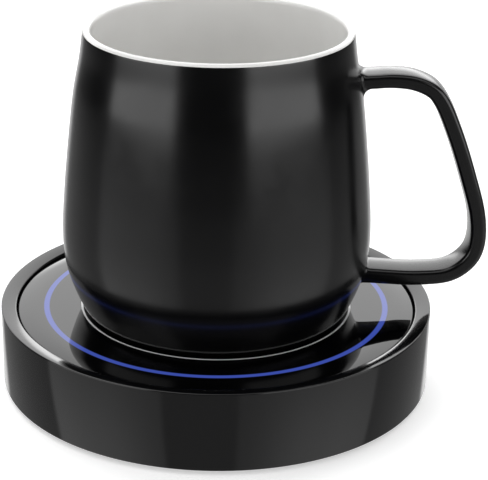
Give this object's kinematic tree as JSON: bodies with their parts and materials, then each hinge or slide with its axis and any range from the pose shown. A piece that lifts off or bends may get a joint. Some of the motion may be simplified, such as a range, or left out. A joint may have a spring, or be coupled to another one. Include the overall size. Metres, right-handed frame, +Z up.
{
  "type": "mug warmer",
  "caption": "Round electric mug warmer with a weight-switched floating glass plate and a light ring, and its stoneware mug with a strap handle.",
  "frame": {"origin": "middle of the non-slip pad's flat underside, on the warmer's axis, at table height", "axes": "+Z up along the axis of the warmer and the mug; +X towards the mug's handle; +Y towards the back, where the power inlet is"},
  "size_m": [0.1455, 0.13, 0.1097],
  "materials": {
    "gloss_black_plastic": "polished",
    "matt_black_plastic": "fine spark texture",
    "black_silicone": "matt",
    "zinc_steel": "zinc plated",
    "green_board": "solder mask",
    "blue_sleeve": "shrink sleeve",
    "ivory_plastic": "moulded",
    "brass": "bright",
    "grey_nylon": "moulded",
    "spring_steel": "drawn wire",
    "red_lead": "silicone sleeve",
    "grey_lead": "sleeved pair",
    "black_glass": "polished, printed black below",
    "aluminium": "rolled",
    "heater_film": "amber film over foil tracks",
    "ceramic_felt": "pressed fibre",
    "frosted_clear": "frosted",
    "white_board": "solder mask",
    "black_glaze": "satin glaze outside, white gloss glaze inside"
  },
  "bodies": {
    "root": {"housing_shell": "gloss_black_plastic", "bottom_cover": "matt_black_plastic", "non_slip_pad": "black_silicone", "case_screw_1": "zinc_steel", "case_screw_2": "zinc_steel", "case_screw_3": "zinc_steel", "case_screw_4": "zinc_steel", "control_board": "green_board", "board_screw_1": "zinc_steel", "board_screw_2": "zinc_steel", "board_screw_3": "zinc_steel", "filter_capacitor": "blue_sleeve", "power_transistor": "matt_black_plastic", "heater_connector": "ivory_plastic", "signal_connector": "ivory_plastic", "dc_inlet": "matt_black_plastic", "inlet_pin": "brass", "switch_body": "matt_black_plastic", "plate_spring_1": "spring_steel", "plate_spring_2": "spring_steel", "plate_spring_3": "spring_steel", "heater_lead_1": "red_lead", "heater_lead_2": "red_lead", "sensor_lead": "grey_lead", "light_lead": "grey_lead"},
    "plate": {"glass_plate": "black_glass", "plate_carrier": "grey_nylon", "heat_spreader": "aluminium", "heater_film": "heater_film", "felt_pad": "ceramic_felt", "temperature_sensor": "brass", "thermal_cutout": "brass", "light_guide": "frosted_clear", "light_board": "white_board", "retaining_screw_1": "zinc_steel", "retaining_screw_2": "zinc_steel", "retaining_screw_3": "zinc_steel"},
    "plunger": {"switch_plunger": "grey_nylon"},
    "mug": {"mug": "black_glaze"}
  },
  "joints": [
    {"name": "plate_travel", "type": "slide", "parent": "root", "child": "plate", "axis": [0, 0, 1], "range_m": [0, 0.001], "stiffness_N_per_m": 1000, "springref_m": 0.0032, "deforming": ["plate_spring_1", "plate_spring_2", "plate_spring_3", "heater_lead_1", "heater_lead_2", "sensor_lead", "light_lead"]},
    {"name": "plunger_travel", "type": "slide", "parent": "root", "child": "plunger", "axis": [0, 0, 1], "range_m": [0, 0.001]},
    {"name": "mug_lift", "type": "slide", "parent": "plate", "child": "mug", "axis": [0, 0, 1], "range_m": [0, 0.12]}
  ],
  "couplings": [
    {"joint": "plunger_travel", "follows": "plate_travel", "ratio": 1}
  ]
}
